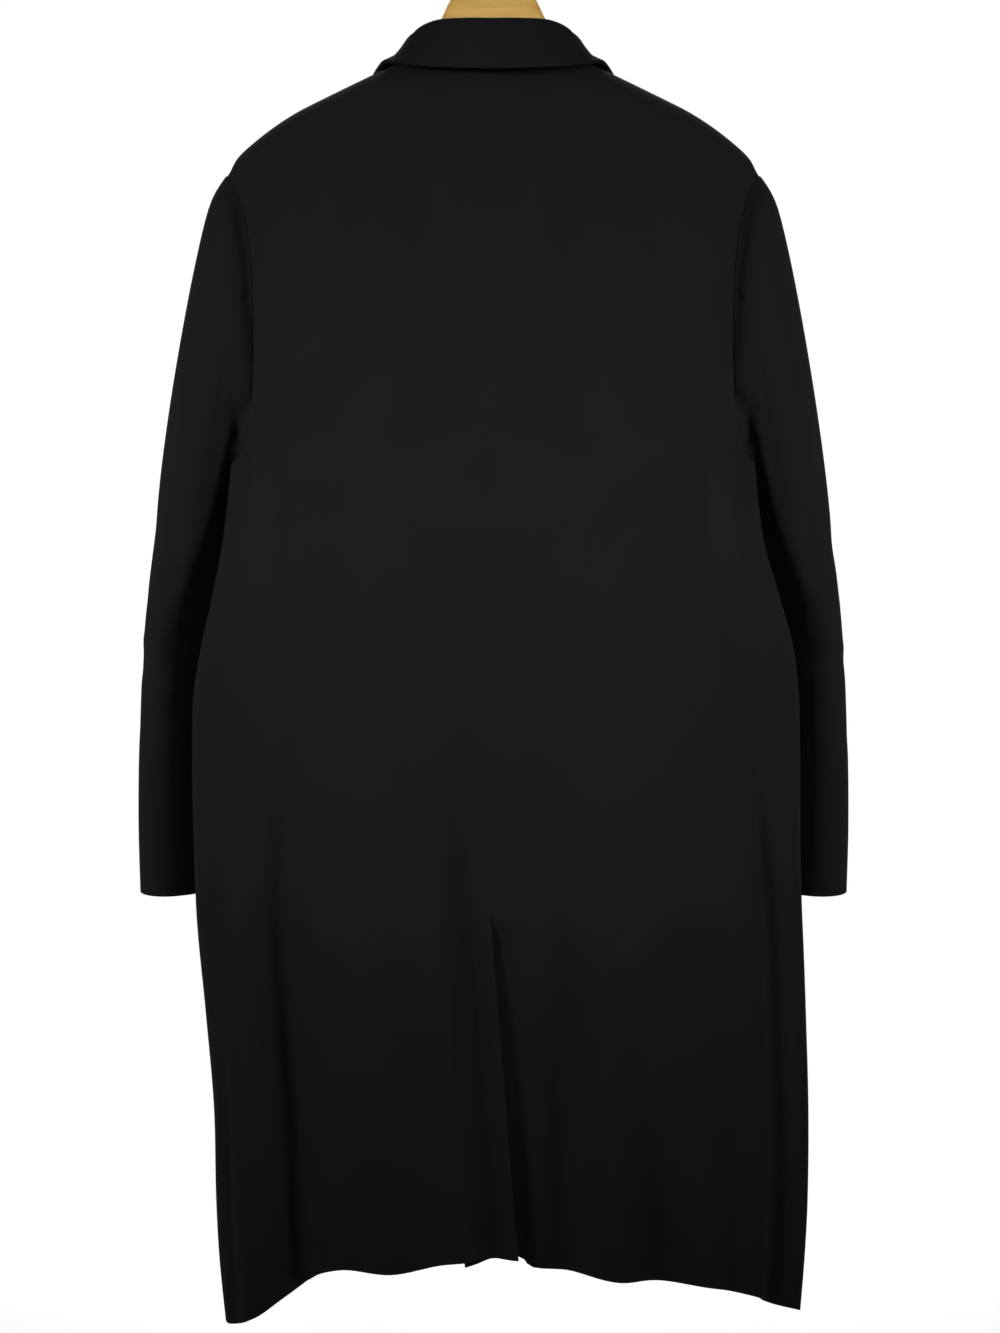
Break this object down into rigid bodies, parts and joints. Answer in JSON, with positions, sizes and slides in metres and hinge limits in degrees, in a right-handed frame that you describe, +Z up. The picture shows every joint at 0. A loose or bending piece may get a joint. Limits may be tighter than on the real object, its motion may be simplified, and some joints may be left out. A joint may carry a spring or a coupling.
{
  "type": "overcoat on a wooden hanger",
  "caption": "Long black wool overcoat, single breasted with notch lapels and a centre back vent, hanging from a shaped beech hanger with a steel hook.",
  "frame": {"origin": "inside top of the hanger hook's crook, where a rail holds it (mount hang)", "axes": "+Z up, +X to the wearer's left, front of the coat towards -Y, back towards +Y"},
  "size_m": [0.6562, 0.2278, 1.2731],
  "materials": {
    "wool": "matte, short nap",
    "horn": "satin",
    "beech": "satin lacquer",
    "steel": "polished"
  },
  "bodies": {
    "root": {"back_left": "wool", "back_right": "wool", "front_left": "wool", "front_right": "wool", "lapel_left": "wool", "lapel_right": "wool", "collar": "wool", "sleeve_top_left": "wool", "sleeve_top_right": "wool", "sleeve_under_left": "wool", "sleeve_under_right": "wool", "button_1": "horn", "button_2": "horn", "button_3": "horn", "hanger_body": "beech", "hanger_hook": "steel"}
  },
  "joints": []
}
